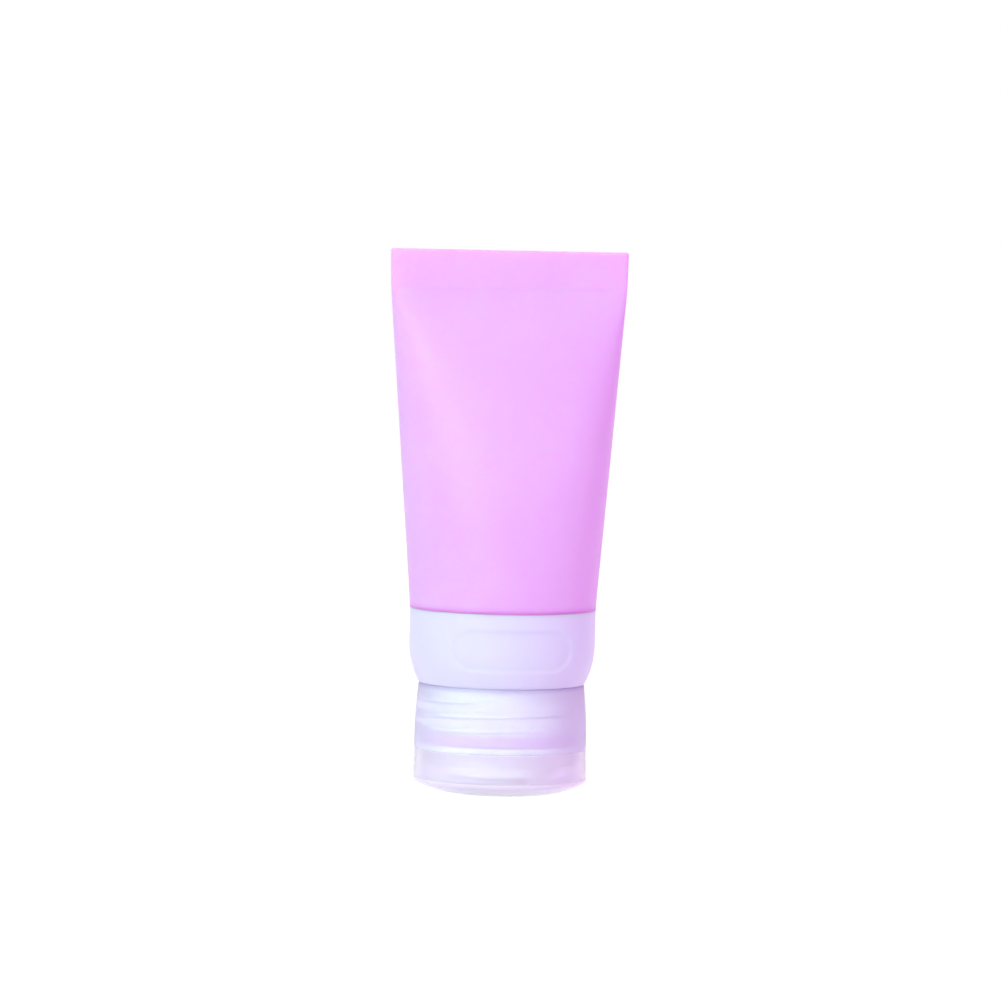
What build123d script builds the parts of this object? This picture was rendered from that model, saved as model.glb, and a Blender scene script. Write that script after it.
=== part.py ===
from build123d import *
import os
from math import cos, pi, radians, sin, sqrt, tan

os.makedirs("parts", exist_ok=True)

# Travel silicone bottle, standing upside down on its closed flip lid. Millimetres, +Z up.
# The origin is the centre of the resting face. The flat seam that closes the tube runs
# along X, the window in the collar is at the front, -Y, and the lid's hinge at the back, +Y.

overrun = 1.0  # how far every cutter runs past what it cuts

# The stack, from the resting face up
lid_height = 10.0
cap_height = 14.1
collar_gap = 0.4
collar_height = 16.7
shoulder_gap = 0.3
tube_height = 79.5

# The silicone tube: round at the shoulder, flat and closed at the seam
tube_radius = 20.8
tube_wall = 1.7
tube_edge_round = 0.6
land_height = 8.7
land_width = 52.6
seam_flare = 0.4
seam_taper = 0.4
seam_edge_round = 0.5
cavity_stop = 1.0
cavity_round = 0.8
land_fullness_share = 0.93
section_shares = (0, 0.16, 0.34, 0.52, 0.68, 0.82, 0.92, 1)

# The collar, a ring that turns freely round the sleeve's drum
collar_inset = 0.05
collar_wall = 1.85
collar_clearance = 0.3
collar_straight = 7.7
collar_foot = 2.2
collar_edge_round = 0.4
window_width = 26.8
window_height = 8.9
window_drop = 8.1
window_depth = 0.45
window_round = 0.2
window_turn = 7.75

# The sleeve, which carries the collar, the tube's neck and the thread
sleeve_wall = 1.4
drum_recess = 0.2
drum_corner = 1.8
nest_clearance = 0.1
neck_step = 1.3
thread_depth = 0.9
neck_liner = 1.5
bead_height = 0.25
bead_drop = 1.8
lip_overhang = 0.4
lip_thickness = 2.5
lip_round = 0.4

# The cap: skirt, plate, spouted boss and the spigot that the lid closes over
thread_clearance = 0.15
cap_top_wall = 1.05
cap_flare = 0.7
cap_barrel_height = 8.5
cap_barrel_drop = 0.2
cap_edge_round = 0.4
plate_rise = 1.2
plate_thickness = 1.8
seat_gap = 0.1
boss_radius = 12.4
boss_wall = 1.4
boss_gap = 2.3
boss_floor = 1.2
boss_round = 0.8
orifice_radius = 6.5
spigot_drop = 3.0
spigot_wall = 1.2
notch_width = 14.0
notch_height = 2.6
notch_depth = 0.6

# The valve and the ring that holds it
valve_clearance = 0.2
valve_flange = 1.6
membrane_radius = 6.3
membrane_rise = 1.2
membrane_thickness = 0.8
slit_length = 6.0
slit_width = 0.15
retainer_clearance = 0.15
retainer_wall = 3.85
retainer_chamfer = 0.5

# The lid
parting_gap = 0.2
lid_flare = 0.2
lid_wall = 1.15
lid_clearance = 0.45
lid_crown = 1.5
crown_flat = 9.5
crown_rise = 2.7
crown_round = 0.6
spout_plug_clearance = 0.4
spout_plug_wall = 1.1
spout_plug_reach = 0.6

# The moulded hinge: two thin films and a snap strap between flat pads
pad_width = 18.0
pad_proud = 0.4
pad_height = 4.2
pad_chamfer = 1.2
rebate_depth = 0.8
rebate_height = 0.6
film_width = 4.5
film_spacing = 13.0
film_thickness = 0.35
strap_width = 5.0
strap_thickness = 0.5
strap_arch = 0.5
strap_overlap = 2.0

# Radii, worked inwards from the tube
collar_radius = tube_radius - collar_inset
collar_bore = collar_radius - collar_wall
drum_radius = collar_bore - collar_clearance
drum_bore = drum_radius - sleeve_wall
socket_radius = drum_bore - nest_clearance
socket_bore = socket_radius - tube_wall
thread_crest = drum_radius - neck_step
neck_radius = thread_crest - thread_depth
neck_bore = neck_radius - sleeve_wall
liner_radius = neck_bore - nest_clearance
mouth_radius = liner_radius - neck_liner
lip_radius = neck_radius + lip_overhang
cap_bore = thread_crest + thread_clearance
cap_top_radius = cap_bore + cap_top_wall
cap_barrel_radius = cap_top_radius + cap_flare - cap_barrel_drop
parting_radius = cap_top_radius + cap_flare
lid_radius = parting_radius + lid_flare
lid_bore = parting_radius - lid_wall
spigot_radius = lid_bore - lid_clearance
boss_bore = boss_radius - boss_wall
spout_plug_radius = orifice_radius - spout_plug_clearance

# Heights, worked up from the resting face
parting_z = lid_height
cap_top_z = parting_z + cap_height
collar_foot_z = cap_top_z + collar_gap
collar_top_z = collar_foot_z + collar_height
shoulder_z = collar_top_z + shoulder_gap
tube_foot_z = shoulder_z + tube_edge_round
seam_z = shoulder_z + tube_height
land_z = seam_z - land_height
tube_span = land_z - tube_foot_z
plate_top_z = parting_z + plate_rise
plate_z = plate_top_z - plate_thickness
lip_z = plate_top_z + seat_gap
lip_top_z = lip_z + lip_thickness
sleeve_floor_z = collar_foot_z + collar_foot + collar_clearance
socket_floor_z = sleeve_floor_z + sleeve_wall
drum_top_z = collar_top_z - drum_recess
boss_z = lid_crown + boss_gap
valve_z = boss_z + boss_floor
retainer_z = valve_z + valve_flange
lid_top_z = parting_z - parting_gap
hinge_z = parting_z - parting_gap / 2
pad_face = parting_radius + pad_proud

circle_share = 4 / 3 * tan(pi / 8)  # how full a quarter curve is on a circle


# The tube's section at a height: four quarter curves that pass from a circle at the
# shoulder to a flat, round-ended bar at the seam. Seen from the front the sides are
# straight, and seen from the side they are one arc that leaves the collar upright.
def tube_section(height, inset):
    share = (height - tube_foot_z) / tube_span
    depth_drop = tube_radius - tube_wall
    arc_radius = (depth_drop**2 + tube_span**2) / (2 * depth_drop)
    arc_drop = arc_radius - sqrt(arc_radius**2 - (height - tube_foot_z) ** 2)
    half_width = tube_radius + (land_width / 2 - tube_radius) * share - inset
    half_depth = tube_radius - arc_drop - inset
    fullness = circle_share + (land_fullness_share - circle_share) * share**2
    return rounded_section(height, half_width, half_depth, fullness)


def rounded_section(height, half_width, half_depth, fullness):
    with BuildSketch(Plane.XY.offset(height)) as section:
        with BuildLine():
            Bezier(
                (half_width, 0),
                (half_width, fullness * half_depth),
                (fullness * half_width, half_depth),
                (0, half_depth),
            )
            mirror(about=Plane.YZ)
            mirror(about=Plane.XZ)
        make_face()
    return section.sketch


# The rounded lower edge of the tube, a quarter circle in section.
def shoulder_section(turn):
    radius = tube_radius - tube_edge_round * (1 - sin(turn))
    height = shoulder_z + tube_edge_round * (1 - cos(turn))
    return rounded_section(height, radius, radius, circle_share)


shoulder_sections = [shoulder_section(turn) for turn in (0, pi / 6, pi / 3, pi / 2)]
tube_sections = [tube_section(tube_foot_z + share * tube_span, 0) for share in section_shares]
land_sections = [
    rounded_section(land_z, land_width / 2, tube_wall, land_fullness_share),
    rounded_section(seam_z, (land_width + seam_flare) / 2, tube_wall - seam_taper / 2, land_fullness_share),
]
cavity_foot_z = shoulder_z + tube_wall
cavity_span = land_z - cavity_stop - cavity_foot_z
cavity_sections = [tube_section(cavity_foot_z + share * cavity_span, tube_wall) for share in section_shares]

# Silicone tube, one moulding: the squeezable body, the shoulder, the socket inside the
# sleeve's drum, the neck liner and the lip that seals against the cap's plate.
with BuildPart() as bottle_body:
    loft(tube_sections)
    loft(shoulder_sections)
    loft(land_sections, ruled=True)
    fillet(bottle_body.edges().group_by(Axis.Z)[-1], radius=seam_edge_round)
    with BuildSketch(Plane.XZ) as outside:
        with BuildLine():
            Polyline(
                (0, tube_foot_z),
                (socket_radius, tube_foot_z),
                (socket_radius, socket_floor_z),
                (liner_radius, socket_floor_z),
                (liner_radius, lip_top_z),
                (lip_radius, lip_top_z),
                (lip_radius, lip_z),
                (0, lip_z),
                (0, tube_foot_z),
            )
        make_face()
        low_corners = outside.vertices().filter_by_position(Axis.Y, lip_z, lip_top_z)
        fillet(low_corners.group_by(Axis.X)[-1], radius=lip_round)
    revolve(axis=Axis.Z)
    loft(cavity_sections, mode=Mode.SUBTRACT)
    with BuildSketch(Plane.XZ) as bore:
        with BuildLine():
            Polyline(
                (0, lip_z - overrun),
                (mouth_radius, lip_z - overrun),
                (mouth_radius, socket_floor_z + tube_wall),
                (socket_bore, socket_floor_z + tube_wall),
                (socket_bore, cavity_foot_z + overrun),
                (0, cavity_foot_z + overrun),
                close=True,
            )
        make_face()
        step_corners = bore.vertices().filter_by_position(Axis.Y, socket_floor_z, cavity_foot_z)
        fillet(step_corners, radius=cavity_round)
    revolve(axis=Axis.Z, mode=Mode.SUBTRACT)

bottle_body.part.label = "bottle_body"
export_step(bottle_body.part, "parts/bottle_body.step")

# Sleeve, one rigid moulding: the drum that the collar turns on, with a bead that keeps
# the collar down, the floor, and the neck whose outside carries the cap's thread.
with BuildPart() as neck_sleeve:
    with BuildSketch(Plane.XZ):
        with BuildLine():
            Polyline(
                (neck_bore, lip_top_z),
                (neck_radius, lip_top_z),
                (neck_radius, sleeve_floor_z),
                (drum_radius - drum_corner, sleeve_floor_z),
            )
            RadiusArc(
                (drum_radius - drum_corner, sleeve_floor_z),
                (drum_radius, sleeve_floor_z + drum_corner),
                -drum_corner,
            )
            bead_z = drum_top_z - bead_drop
            Line((drum_radius, sleeve_floor_z + drum_corner), (drum_radius, bead_z - 2 * bead_height))
            ThreePointArc(
                (drum_radius, bead_z - 2 * bead_height),
                (drum_radius + bead_height, bead_z),
                (drum_radius, bead_z + 2 * bead_height),
            )
            Polyline(
                (drum_radius, bead_z + 2 * bead_height),
                (drum_radius, drum_top_z),
                (drum_bore, drum_top_z),
                (drum_bore, socket_floor_z),
                (neck_bore, socket_floor_z),
                (neck_bore, lip_top_z),
            )
        make_face()
    revolve(axis=Axis.Z)

neck_sleeve.part.label = "neck_sleeve"
export_step(neck_sleeve.part, "parts/neck_sleeve.step")


# The collar's outer edge in section: upright at the top, then an arc drawn in to the cap.
bend_z = collar_top_z - collar_straight
collar_draw_in = collar_radius - cap_top_radius
collar_arc_radius = (collar_draw_in**2 + (bend_z - collar_foot_z) ** 2) / (2 * collar_draw_in)


def collar_outline(inset):
    Line((collar_radius - inset, collar_top_z), (collar_radius - inset, bend_z))
    TangentArc((collar_radius - inset, bend_z), (cap_top_radius - inset, collar_foot_z), tangent=(0, -1))


def on_outer_face(edge):
    middle = edge.position_at(0.5)
    drop = max(bend_z - middle.Z, 0)
    outer_radius = collar_radius - collar_arc_radius + sqrt(collar_arc_radius**2 - drop**2)
    return Vector(middle.X, middle.Y, 0).length > outer_radius - window_depth / 2


# What the window's recess takes out: a pill shape that sinks to an even depth all over.
window_out = Vector(sin(radians(window_turn)), -cos(radians(window_turn)), 0)
window_plane = Plane(
    origin=(0, 0, collar_top_z - window_drop),
    x_dir=(cos(radians(window_turn)), sin(radians(window_turn)), 0),
    z_dir=window_out,
)
with BuildPart() as window_cutter:
    with BuildSketch(Plane.XZ):
        with BuildLine():
            collar_outline(window_depth)
            Polyline(
                (cap_top_radius - window_depth, collar_foot_z),
                (collar_radius + overrun, collar_foot_z),
                (collar_radius + overrun, collar_top_z),
                (collar_radius - window_depth, collar_top_z),
            )
        make_face()
    revolve(axis=Axis.Z)
    with BuildSketch(window_plane):
        SlotOverall(window_width, window_height)
    extrude(amount=collar_radius + overrun, mode=Mode.INTERSECT)

# Collar: a smooth milky ring, loose on the drum, with an inner foot under the sleeve's
# floor and a groove over its bead. The pill-shaped recess at the front is left blank.
with BuildPart() as window_collar:
    groove_z = drum_top_z - bead_drop
    groove_radius = collar_bore + bead_height
    foot_bore = thread_crest + collar_clearance
    corner = drum_corner + collar_clearance
    corner_z = collar_foot_z + collar_foot + corner
    foot_top_z = corner_z - sqrt(corner**2 - (foot_bore - collar_bore + corner) ** 2)
    with BuildSketch(Plane.XZ):
        with BuildLine():
            collar_outline(0)
            Polyline(
                (cap_top_radius, collar_foot_z),
                (foot_bore, collar_foot_z),
                (foot_bore, foot_top_z),
            )
            RadiusArc((foot_bore, foot_top_z), (collar_bore, corner_z), -corner)
            Line((collar_bore, corner_z), (collar_bore, groove_z - 2 * bead_height))
            ThreePointArc(
                (collar_bore, groove_z - 2 * bead_height),
                (groove_radius, groove_z),
                (collar_bore, groove_z + 2 * bead_height),
            )
            Polyline(
                (collar_bore, groove_z + 2 * bead_height),
                (collar_bore, collar_top_z),
                (collar_radius, collar_top_z),
            )
        make_face()
    revolve(axis=Axis.Z)
    top_circles = window_collar.edges().filter_by(GeomType.CIRCLE).group_by(Axis.Z)[-1]
    fillet(top_circles.sort_by(SortBy.RADIUS)[-1], radius=collar_edge_round)
    add(window_cutter.part, mode=Mode.SUBTRACT)
    window_edges = window_collar.edges(Select.LAST).filter_by(GeomType.LINE, reverse=True)
    fillet(window_edges.filter_by(on_outer_face), radius=window_round)

window_collar.part.label = "window_collar"
export_step(window_collar.part, "parts/window_collar.step")


# A flat pad for the hinge, behind the skirt or the lid's wall, rebated where they meet.
def hinge_pad(near_z, direction):
    with BuildPart() as pad:
        with BuildSketch(Plane.YZ):
            with BuildLine():
                Polyline(
                    (pad_foot, near_z),
                    (pad_face - rebate_depth, near_z),
                    (pad_face - rebate_depth, near_z + direction * rebate_height),
                    (pad_face, near_z + direction * rebate_height),
                    (pad_face, near_z + direction * (pad_height - pad_chamfer)),
                    (pad_face - pad_chamfer, near_z + direction * pad_height),
                    (pad_foot, near_z + direction * pad_height),
                    close=True,
                )
            make_face()
        extrude(amount=pad_width / 2, both=True)
        with BuildSketch(Plane.XY.offset(near_z - pad_height - overrun)):
            Circle(lid_bore)
        extrude(amount=2 * (pad_height + overrun), mode=Mode.SUBTRACT)
    return pad.part


pad_foot = sqrt(lid_bore**2 - (pad_width / 2) ** 2) - overrun
cap_pad = hinge_pad(parting_z, 1)
lid_pad = hinge_pad(lid_top_z, -1)

# What the thumb notch takes out: a shallow crescent just above the parting line.
with BuildPart() as notch_cutter:
    with BuildSketch(Plane.XY.offset(parting_z - overrun)):
        Circle(parting_radius + overrun)
        Circle(parting_radius - notch_depth, mode=Mode.SUBTRACT)
    extrude(amount=notch_height + 2 * overrun)
    with BuildSketch(Plane.XZ):
        with BuildLine():
            ThreePointArc(
                (-notch_width / 2, parting_z),
                (0, parting_z + notch_height),
                (notch_width / 2, parting_z),
            )
            Polyline(
                (notch_width / 2, parting_z),
                (notch_width / 2, parting_z - overrun),
                (-notch_width / 2, parting_z - overrun),
                (-notch_width / 2, parting_z),
            )
        make_face()
    extrude(amount=parting_radius + overrun, mode=Mode.INTERSECT)

# Cap base: the skirt that screws on the neck, the plate, the spigot ring that the lid
# snaps over, and the boss that holds the valve above its round orifice.
with BuildPart() as cap_base:
    with BuildSketch(Plane.XZ):
        with BuildLine():
            ThreePointArc(
                (parting_radius, parting_z),
                (cap_barrel_radius, parting_z + cap_barrel_height),
                (cap_top_radius, cap_top_z),
            )
            Polyline(
                (cap_top_radius, cap_top_z),
                (cap_bore, cap_top_z),
                (cap_bore, plate_top_z),
                (boss_bore, plate_top_z),
                (boss_bore, valve_z),
                (orifice_radius, valve_z),
                (orifice_radius, boss_z),
                (boss_radius, boss_z),
                (boss_radius, plate_z),
                (spigot_radius - spigot_wall, plate_z),
                (spigot_radius - spigot_wall, parting_z - spigot_drop),
                (spigot_radius, parting_z - spigot_drop),
                (spigot_radius, parting_z),
                (parting_radius, parting_z),
            )
        make_face()
    revolve(axis=Axis.Z)
    top_rims = cap_base.edges().filter_by(GeomType.CIRCLE).group_by(Axis.Z)[-1]
    fillet(top_rims.sort_by(SortBy.RADIUS)[-1], radius=cap_edge_round)
    bottom_rims = cap_base.edges().filter_by(GeomType.CIRCLE).group_by(Axis.Z)[0]
    fillet(bottom_rims.sort_by(SortBy.RADIUS)[-1], radius=boss_round)
    add(cap_pad)
    add(notch_cutter.part, mode=Mode.SUBTRACT)

cap_base.part.label = "cap_base"
export_step(cap_base.part, "parts/cap_base.step")

# Valve, soft silicone: a flange clamped in the boss and a thin domed membrane with a
# cross slit that opens when the tube is squeezed.
with BuildPart() as no_drip_valve:
    flange_radius = boss_bore - valve_clearance
    with BuildSketch(Plane.XZ):
        with BuildLine():
            Line((flange_radius, valve_z), (membrane_radius, valve_z))
            dome_z = valve_z + membrane_rise
            TangentArc((0, dome_z), (membrane_radius, valve_z), tangent=(1, 0))
            Line((0, dome_z), (0, dome_z + membrane_thickness))
            TangentArc((0, dome_z + membrane_thickness), (membrane_radius, retainer_z), tangent=(1, 0))
            Polyline((membrane_radius, retainer_z), (flange_radius, retainer_z), (flange_radius, valve_z))
        make_face()
    revolve(axis=Axis.Z)
    with BuildSketch(Plane.XY.offset(valve_z)):
        Rectangle(slit_length, slit_width)
        Rectangle(slit_width, slit_length)
    extrude(amount=membrane_rise + membrane_thickness + overrun, mode=Mode.SUBTRACT)

no_drip_valve.part.label = "no_drip_valve"
export_step(no_drip_valve.part, "parts/no_drip_valve.step")

# Retainer: a plain ring pressed into the boss on top of the valve's flange.
with BuildPart() as valve_retainer:
    retainer_radius = boss_bore - retainer_clearance
    with BuildSketch(Plane.XY.offset(retainer_z)):
        Circle(retainer_radius)
        Circle(retainer_radius - retainer_wall, mode=Mode.SUBTRACT)
    extrude(amount=plate_z - retainer_z)
    chamfer(valve_retainer.edges().group_by(Axis.Z)[-1], length=retainer_chamfer)

valve_retainer.part.label = "valve_retainer"
export_step(valve_retainer.part, "parts/valve_retainer.step")

# Flip lid: a shallow domed cup with a flat crown to stand on, and a ring inside that
# stops the orifice when the lid is shut.
with BuildPart() as flip_lid:
    crown_arc = ((lid_radius - crown_flat) ** 2 + crown_rise**2) / (2 * crown_rise)
    inner_run = lid_bore - crown_flat
    inner_rise = crown_arc - lid_crown - sqrt((crown_arc - lid_crown) ** 2 - inner_run**2)
    with BuildSketch(Plane.XZ) as lid_section:
        with BuildLine():
            Line((0, 0), (crown_flat, 0))
            TangentArc((crown_flat, 0), (lid_radius, crown_rise), tangent=(1, 0))
            Polyline(
                (lid_radius, crown_rise),
                (parting_radius, lid_top_z),
                (lid_bore, lid_top_z),
                (lid_bore, lid_crown + inner_rise),
            )
            TangentArc((crown_flat, lid_crown), (lid_bore, lid_crown + inner_rise), tangent=(1, 0))
            Polyline((crown_flat, lid_crown), (0, lid_crown), (0, 0))
        make_face()
        fillet(lid_section.vertices().sort_by(Axis.X)[-1], radius=crown_round)
    revolve(axis=Axis.Z)
    with BuildSketch(Plane.XY.offset(lid_crown)):
        Circle(spout_plug_radius)
        Circle(spout_plug_radius - spout_plug_wall, mode=Mode.SUBTRACT)
    extrude(amount=boss_gap + spout_plug_reach)
    add(lid_pad)

flip_lid.part.label = "flip_lid"
export_step(flip_lid.part, "parts/flip_lid.step")

# Hinge films: thin webs of the same moulding, across the rebates of the two pads.
rebate_foot_z = lid_top_z - rebate_height
rebate_top_z = parting_z + rebate_height
film_places = {"hinge_film_left": -film_spacing / 2, "hinge_film_right": film_spacing / 2}
for film_name, film_x in film_places.items():
    with BuildPart() as hinge_film:
        with BuildSketch(Plane.XY.offset(rebate_foot_z)):
            with Locations((film_x, pad_face - film_thickness / 2)):
                Rectangle(film_width, film_thickness)
        extrude(amount=rebate_top_z - rebate_foot_z)
    hinge_film.part.label = film_name
    export_step(hinge_film.part, "parts/" + film_name + ".step")

# Snap strap: the arched band between the films that throws the lid open or shut.
with BuildPart() as snap_strap:
    with BuildSketch(Plane.YZ):
        with BuildLine():
            strap_foot_z = rebate_foot_z - strap_overlap
            strap_top_z = rebate_top_z + strap_overlap
            ThreePointArc(
                (pad_face, strap_foot_z),
                (pad_face + strap_arch + strap_thickness, hinge_z),
                (pad_face, strap_top_z),
            )
            Line((pad_face, strap_top_z), (pad_face, rebate_top_z))
            ThreePointArc(
                (pad_face, rebate_top_z),
                (pad_face + strap_arch, hinge_z),
                (pad_face, rebate_foot_z),
            )
            Line((pad_face, rebate_foot_z), (pad_face, strap_foot_z))
        make_face()
    extrude(amount=strap_width / 2, both=True)

snap_strap.part.label = "snap_strap"
export_step(snap_strap.part, "parts/snap_strap.step")
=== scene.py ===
import bpy
from math import atan2, cos, pi, radians, sin, sqrt, tan
from mathutils import Matrix, Vector


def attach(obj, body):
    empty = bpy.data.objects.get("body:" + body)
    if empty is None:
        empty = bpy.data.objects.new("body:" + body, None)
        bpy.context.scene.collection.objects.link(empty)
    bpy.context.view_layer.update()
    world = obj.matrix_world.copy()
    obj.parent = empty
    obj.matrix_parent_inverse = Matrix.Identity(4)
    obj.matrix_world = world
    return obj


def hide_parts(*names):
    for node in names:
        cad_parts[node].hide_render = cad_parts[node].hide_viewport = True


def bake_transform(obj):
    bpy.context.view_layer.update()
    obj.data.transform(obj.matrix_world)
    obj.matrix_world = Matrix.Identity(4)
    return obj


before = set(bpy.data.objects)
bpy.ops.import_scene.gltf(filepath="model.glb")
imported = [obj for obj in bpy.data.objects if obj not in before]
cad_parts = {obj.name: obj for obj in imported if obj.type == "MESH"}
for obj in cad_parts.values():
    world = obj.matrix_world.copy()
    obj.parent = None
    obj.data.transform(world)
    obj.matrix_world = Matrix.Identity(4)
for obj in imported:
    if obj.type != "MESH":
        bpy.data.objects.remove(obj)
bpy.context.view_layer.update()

mm = 0.001
scene = bpy.context.scene
scene.view_settings.view_transform = "Standard"

# The camera stands 1.2 m in front, a little above the cap, and is turned by a degree,
# so that the bottle leans to the right as it does in the picture.
camera_distance = 1200 * mm
camera_height_angle = radians(3.2)
camera_turn = radians(1.15)
frame_width = 223.4 * mm
aim = Vector((-1.0, 0, 65.2)) * mm
lens_data = bpy.data.cameras.new("camera")
lens_data.sensor_width = 36
lens_data.lens = lens_data.sensor_width * camera_distance / frame_width
lens_data.clip_end = 20
camera = bpy.data.objects.new("camera", lens_data)
scene.collection.objects.link(camera)
looking = Matrix.Rotation(pi / 2 - camera_height_angle, 4, "X")
backwards = looking @ Vector((0, 0, 1))
standing = Matrix.Translation(aim + backwards * camera_distance)
camera.matrix_world = standing @ looking @ Matrix.Rotation(camera_turn, 4, "Z")
scene.camera = camera


# A big soft lamp at the upper left, a weaker one behind, and a pale room, lighter and
# pinker at its right. The room and the paper are plain white to the camera.
def soft_lamp(name, place, width, height, power, colour):
    lamp = bpy.data.lights.new(name, "AREA")
    lamp.shape = "RECTANGLE"
    lamp.size, lamp.size_y = width, height
    lamp.energy = power
    lamp.color = colour
    lamp_object = bpy.data.objects.new(name, lamp)
    facing = (Vector(place) - aim).to_track_quat("Z", "Y").to_matrix().to_4x4()
    lamp_object.matrix_world = Matrix.Translation(place) @ facing
    scene.collection.objects.link(lamp_object)


soft_lamp(
    "key_lamp", place=(-0.57, -0.9, 0.6), width=0.4, height=0.8, power=9.0, colour=(0.63, 1.0, 0.68)
)
soft_lamp(
    "back_lamp", place=(-0.25, 0.9, 0.7), width=0.9, height=0.6, power=4.5, colour=(1.0, 0.85, 0.97)
)

room = bpy.data.worlds.new("white_room")
room.use_nodes = True
nodes, links = room.node_tree.nodes, room.node_tree.links
nodes.clear()
room_out = nodes.new("ShaderNodeOutputWorld")
room_mix = nodes.new("ShaderNodeMixShader")
room_light = nodes.new("ShaderNodeBackground")
room_seen = nodes.new("ShaderNodeBackground")
room_path = nodes.new("ShaderNodeLightPath")
room_most = nodes.new("ShaderNodeMath")
room_most.operation = "MAXIMUM"
room_way = nodes.new("ShaderNodeTexCoord")
room_split = nodes.new("ShaderNodeSeparateXYZ")
room_side = nodes.new("ShaderNodeMapRange")
room_side.inputs["From Min"].default_value = -1
room_tint = nodes.new("ShaderNodeMix")
room_tint.data_type = "RGBA"
room_tint.inputs["A"].default_value = (0.3, 0.27, 0.42, 1)
room_tint.inputs["B"].default_value = (0.96, 0.55, 0.96, 1)
room_lean = nodes.new("ShaderNodeVectorMath")
room_lean.operation = "DOT_PRODUCT"
room_lean.inputs[1].default_value = (0, -0.18, 0.3)
room_power = nodes.new("ShaderNodeMath")
room_power.inputs[1].default_value = 1.0
links.new(room_way.outputs["Generated"], room_split.inputs[0])
links.new(room_split.outputs["X"], room_side.inputs["Value"])
links.new(room_side.outputs["Result"], room_tint.inputs["Factor"])
links.new(room_tint.outputs["Result"], room_light.inputs["Color"])
links.new(room_way.outputs["Generated"], room_lean.inputs[0])
links.new(room_lean.outputs["Value"], room_power.inputs[0])
links.new(room_power.outputs[0], room_light.inputs["Strength"])
room_seen.inputs["Color"].default_value = (1, 1, 1, 1)
room_seen.inputs["Strength"].default_value = 1.0
links.new(room_path.outputs["Is Camera Ray"], room_most.inputs[0])
links.new(room_path.outputs["Is Transmission Ray"], room_most.inputs[1])
links.new(room_most.outputs[0], room_mix.inputs["Fac"])
links.new(room_light.outputs[0], room_mix.inputs[1])
links.new(room_seen.outputs[0], room_mix.inputs[2])
links.new(room_mix.outputs[0], room_out.inputs["Surface"])
scene.world = room

bpy.ops.object.select_all(action="DESELECT")
bpy.ops.mesh.primitive_plane_add(size=6, location=(0, 0, -0.2 * mm))
floor = bpy.context.object
floor.name = "floor"
paper = bpy.data.materials.new("white_paper")
paper.use_nodes = True
nodes, links = paper.node_tree.nodes, paper.node_tree.links
nodes.clear()
paper_out = nodes.new("ShaderNodeOutputMaterial")
paper_mix = nodes.new("ShaderNodeMixShader")
paper_matt = nodes.new("ShaderNodeBsdfDiffuse")
paper_glow = nodes.new("ShaderNodeEmission")
paper_path = nodes.new("ShaderNodeLightPath")
paper_most = nodes.new("ShaderNodeMath")
paper_shiny = nodes.new("ShaderNodeMath")
paper_share = nodes.new("ShaderNodeMath")
paper_most.operation = "MAXIMUM"
paper_shiny.operation = "MAXIMUM"
paper_share.operation = "MULTIPLY"
paper_share.inputs[1].default_value = 0.8
paper_matt.inputs["Color"].default_value = (0.95, 0.95, 0.95, 1)
paper_glow.inputs["Color"].default_value = (1, 1, 1, 1)
paper_glow.inputs["Strength"].default_value = 1.14
links.new(paper_path.outputs["Is Camera Ray"], paper_most.inputs[0])
links.new(paper_path.outputs["Is Transmission Ray"], paper_most.inputs[1])
links.new(paper_most.outputs[0], paper_shiny.inputs[0])
links.new(paper_path.outputs["Is Glossy Ray"], paper_shiny.inputs[1])
links.new(paper_shiny.outputs[0], paper_share.inputs[0])
links.new(paper_share.outputs[0], paper_mix.inputs["Fac"])
links.new(paper_matt.outputs[0], paper_mix.inputs[1])
links.new(paper_glow.outputs[0], paper_mix.inputs[2])
links.new(paper_mix.outputs[0], paper_out.inputs["Surface"])
floor.data.materials.append(paper)

# The silicone tube is one soft moulding: the body, closed by a flat land at the top, its
# shoulder, the socket and liner that grip the rigid sleeve, and the lip that seals the cap.
tube_radius, tube_wall = 20.8, 1.7
rest_z, foot_round, foot_z, land_z, seam_z = 41.205, 0.03, 42.1, 112.3, 121.0
land_half_width, seam_half_width = 26.3, 26.5
seam_round, seam_taper = 0.5, 0.2
land_crease, crease_sink = 0.2, 0.04
land_fullness, circle_fullness = 0.93, 4 / 3 * tan(pi / 8)
cavity_foot_z, cavity_top_z, cavity_round = 43.2, 111.3, 0.8
quarter_points = 24
ring_points = 4 * quarter_points


# One section of the tube: a closed curve with four handles, made a ring of points.
def tube_ring(height, half_width, half_depth, fullness):
    bpy.ops.curve.primitive_bezier_circle_add(radius=1, location=(0, 0, 0))
    ring = bpy.context.object
    ring.data.resolution_u = quarter_points
    for point in ring.data.splines[0].bezier_points:
        side, front = round(point.co.x), round(point.co.y)
        point.handle_left_type = point.handle_right_type = "FREE"
        point.co = (side * half_width * mm, front * half_depth * mm, height * mm)
        for handle in ("handle_left", "handle_right"):
            old = getattr(point, handle)
            way_x = 0 if side else (1 if old.x > 0 else -1)
            way_y = 0 if front else (1 if old.y > 0 else -1)
            reach = Vector((way_x * half_width, way_y * half_depth, 0)) * fullness * mm
            setattr(point, handle, point.co + reach)
    bpy.ops.object.convert(target="MESH")
    return ring


# The body's half width, half depth and fullness at a height, taken in by the inset.
def body_section(height, inset):
    span = land_z - foot_z
    share = (height - foot_z) / span
    drop = tube_radius - tube_wall
    bend = (drop**2 + span**2) / (2 * drop)
    depth = tube_radius - bend + sqrt(bend**2 - (height - foot_z) ** 2)
    width = tube_radius + (land_half_width - tube_radius) * share
    fullness = circle_fullness + (land_fullness - circle_fullness) * share**2
    return height, width - inset, depth - inset, fullness


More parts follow.
